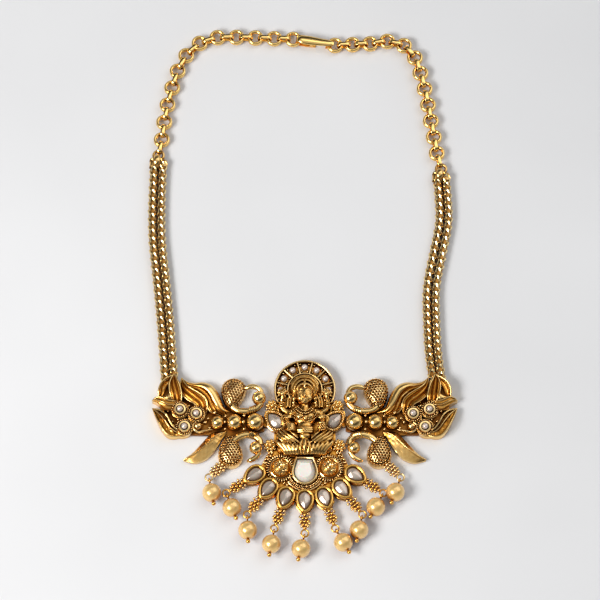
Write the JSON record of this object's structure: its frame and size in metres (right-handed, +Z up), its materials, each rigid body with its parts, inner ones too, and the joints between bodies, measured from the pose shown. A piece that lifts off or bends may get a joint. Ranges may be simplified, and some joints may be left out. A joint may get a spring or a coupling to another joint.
{
  "type": "necklace",
  "caption": "Temple jewellery necklace lying flat: medallion with a seated figure on a lotus, peacock wings, fan of stones, pearl drops, woven strands and a ring chain with a hook.",
  "frame": {"origin": "on the medallion's flat back, under the middle of the lotus from which the fan spreads", "axes": "+Z up out of the front of the jewel as it lies on its back, +Y towards the clasp, +X to the right as seen from the front"},
  "size_m": [0.1054, 0.1932, 0.0078],
  "materials": {
    "antique_gold": "antique, polished on the heights",
    "bright_gold": "polished",
    "cream_pearl": "pearly",
    "small_pearl": "pearly",
    "grey_stone": "pearly, polished",
    "milky_stone": "polished facets"
  },
  "bodies": {
    "root": {"medallion": "antique_gold", "figure": "antique_gold", "centre_stone": "milky_stone", "halo_pearls": "small_pearl", "side_stone_left": "grey_stone", "side_stone_right": "grey_stone", "fan_stone_1": "grey_stone", "fan_stone_2": "grey_stone", "fan_stone_3": "grey_stone", "fan_stone_4": "grey_stone", "fan_stone_5": "grey_stone", "fan_stone_6": "grey_stone", "fan_stone_7": "grey_stone", "wing_left": "antique_gold", "wing_right": "antique_gold", "wing_pin_left": "antique_gold", "wing_pin_right": "antique_gold", "floret_pearls_left": "small_pearl", "floret_pearls_right": "small_pearl", "drop_pearl_1": "cream_pearl", "drop_pearl_2": "cream_pearl", "drop_pearl_3": "cream_pearl", "drop_pearl_4": "cream_pearl", "drop_pearl_5": "cream_pearl", "drop_pearl_6": "cream_pearl", "drop_pearl_7": "cream_pearl", "drop_pearl_8": "cream_pearl", "drop_pearl_9": "cream_pearl", "drop_pin_1": "bright_gold", "drop_pin_2": "bright_gold", "drop_pin_3": "bright_gold", "drop_pin_4": "bright_gold", "drop_pin_5": "bright_gold", "drop_pin_6": "bright_gold", "drop_pin_7": "bright_gold", "drop_pin_8": "bright_gold", "drop_pin_9": "bright_gold", "strand_left_inner": "bright_gold", "strand_left_outer": "bright_gold", "strand_right_inner": "bright_gold", "strand_right_outer": "bright_gold", "end_cap_left": "antique_gold", "end_cap_right": "antique_gold", "ring_chain_left": "bright_gold", "ring_chain_right": "bright_gold", "clasp_hook": "bright_gold"}
  },
  "joints": []
}
